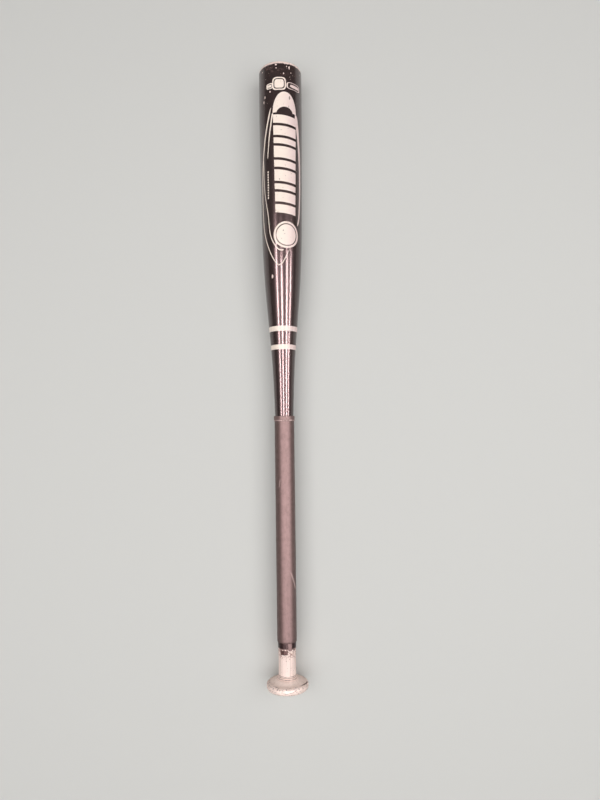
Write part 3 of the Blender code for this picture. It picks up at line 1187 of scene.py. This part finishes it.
def add_ticks(face):
    """A row of plain ticks where the photographed bat carries small lettering."""
    for index in range(TICK_COUNT):
        low = TICK_START + TICK_PITCH * index

        def place(u, v, low=low):
            return TICK_ACROSS + TICK_HALF * (2 * u - 1), low + TICK_LENGTH * v

        face.grid(place, 2, 2)


def rounded(centre, half, inner, u, v):
    """A point of a rounded rectangle, v of the way round, and u of the way from the inner share outwards."""
    out = inner + (1 - inner) * u
    across, along = squared(2 * pi * v, BADGE_SQUARENESS)
    return (centre[0] + out * across * half[0]) * MM, (centre[1] - out * along * half[1]) * MM


def add_badge(face):
    """A blank badge: a rounded block with an outline, between two small outlined wings."""
    for centre, half in BADGE_BLOCKS:
        face.grid(partial(rounded, centre, half, 0.0), 5, 48)
    for centre, half in BADGE_RIMS:
        face.grid(partial(rounded, centre, half, 1 - BADGE_LINE / half[0]), 3, 48)


def add_bands(finish):
    bands = Patch()
    for low, high in BANDS:

        def place(u, v, low=low, high=high):
            return u, low + (high - low) * v

        bands.grid(place, 128, 3, wrap=True)
    bands.finish("taper_bands", finish, "pale_print")


# Setting


def placed(place, side, upward, back):
    """The matrix of a camera or lamp at a place, looking away from its back."""
    return Matrix.Translation(place) @ Matrix((side, upward, back)).transposed().to_4x4()


def add_camera():
    lean, tilt, roll = radians(CAMERA_LEAN_ACROSS), radians(CAMERA_LEAN_ALONG), radians(CAMERA_ROLL)
    forward = Vector((sin(lean), sin(tilt) * cos(lean), -cos(tilt) * cos(lean)))
    side = forward.cross(Vector((0, 1, 0))).normalized()
    upward = side.cross(forward)
    right = side * cos(roll) + upward * sin(roll)
    top = upward * cos(roll) - side * sin(roll)
    data = bpy.data.cameras.new("camera")
    data.lens = CAMERA_LENS
    data.sensor_width = CAMERA_SENSOR
    camera = put_in_scene("camera", data)
    camera.matrix_world = placed(CAMERA_PLACE, right, top, -forward)
    bpy.context.scene.camera = camera


def add_lamp(name, place, target, width, length, power, colour=(1, 1, 1)):
    data = bpy.data.lights.new(name, "AREA")
    data.shape = "RECTANGLE"
    data.size = width
    data.size_y = length
    data.energy = power
    data.color = colour
    lamp = put_in_scene(name, data)
    back = (Vector(place) - Vector(target)).normalized()
    side = Vector((0, 1, 0)).cross(back).normalized()
    lamp.matrix_world = placed(place, side, back.cross(side), back)
    return lamp


def add_lights():
    for index, (turn, share, top) in enumerate(LONG_LAMPS):
        middle = (LAMP_FOOT + top) / 2
        length = top - LAMP_FOOT
        place = (LAMP_HEIGHT * tan(radians(turn)), middle, AXIS_HEIGHT + LAMP_HEIGHT)
        target = (0, middle, AXIS_HEIGHT)
        power = LAMP_POWER * share * length / LAMP_LENGTH
        lamp = add_lamp(f"long_lamp_{index}", place, target, LAMP_WIDTH, length, power, LAMP_COLOUR)
        lamp.visible_diffuse = False
    for name, place, width, length, power in SOFT_LAMPS:
        lamp = add_lamp(name, place, (0, 0, 0), width, length, power)
        lamp.visible_glossy = False


def add_world():
    world = bpy.data.worlds.new("room")
    world.use_nodes = True
    background = world.node_tree.nodes["Background"]
    background.inputs["Color"].default_value = (*SKY_COLOUR, 1)
    background.inputs["Strength"].default_value = SKY_LEVEL
    bpy.context.scene.world = world


def add_floor():
    mesh = bpy.data.meshes.new("floor")
    signs = [(-1, -1), (1, -1), (1, 1), (-1, 1)]
    mesh.from_pydata([(x * FLOOR_REACH, y * FLOOR_REACH, 0) for x, y in signs], [], [(0, 1, 2, 3)])
    colour = (*FLOOR_COLOUR, 1)
    finish = new_finish("floor_paper", Base_Color=colour, Roughness=0.9, Specular_IOR_Level=0.0)[0]
    mesh.materials.append(finish)
    put_in_scene("floor", mesh)


def main():
    pale_print = print_finish()
    add_shell()
    add_knob()
    add_weld()
    add_tape()
    add_bare_handle()
    rubber = add_grip()
    add_tongue(rubber)
    add_collar()
    add_cap()
    add_plug()
    finish_damper()
    add_print(pale_print)
    add_bands(pale_print)
    add_floor()
    add_lights()
    add_world()
    add_camera()
    bpy.context.scene.view_settings.view_transform = "Standard"


main()
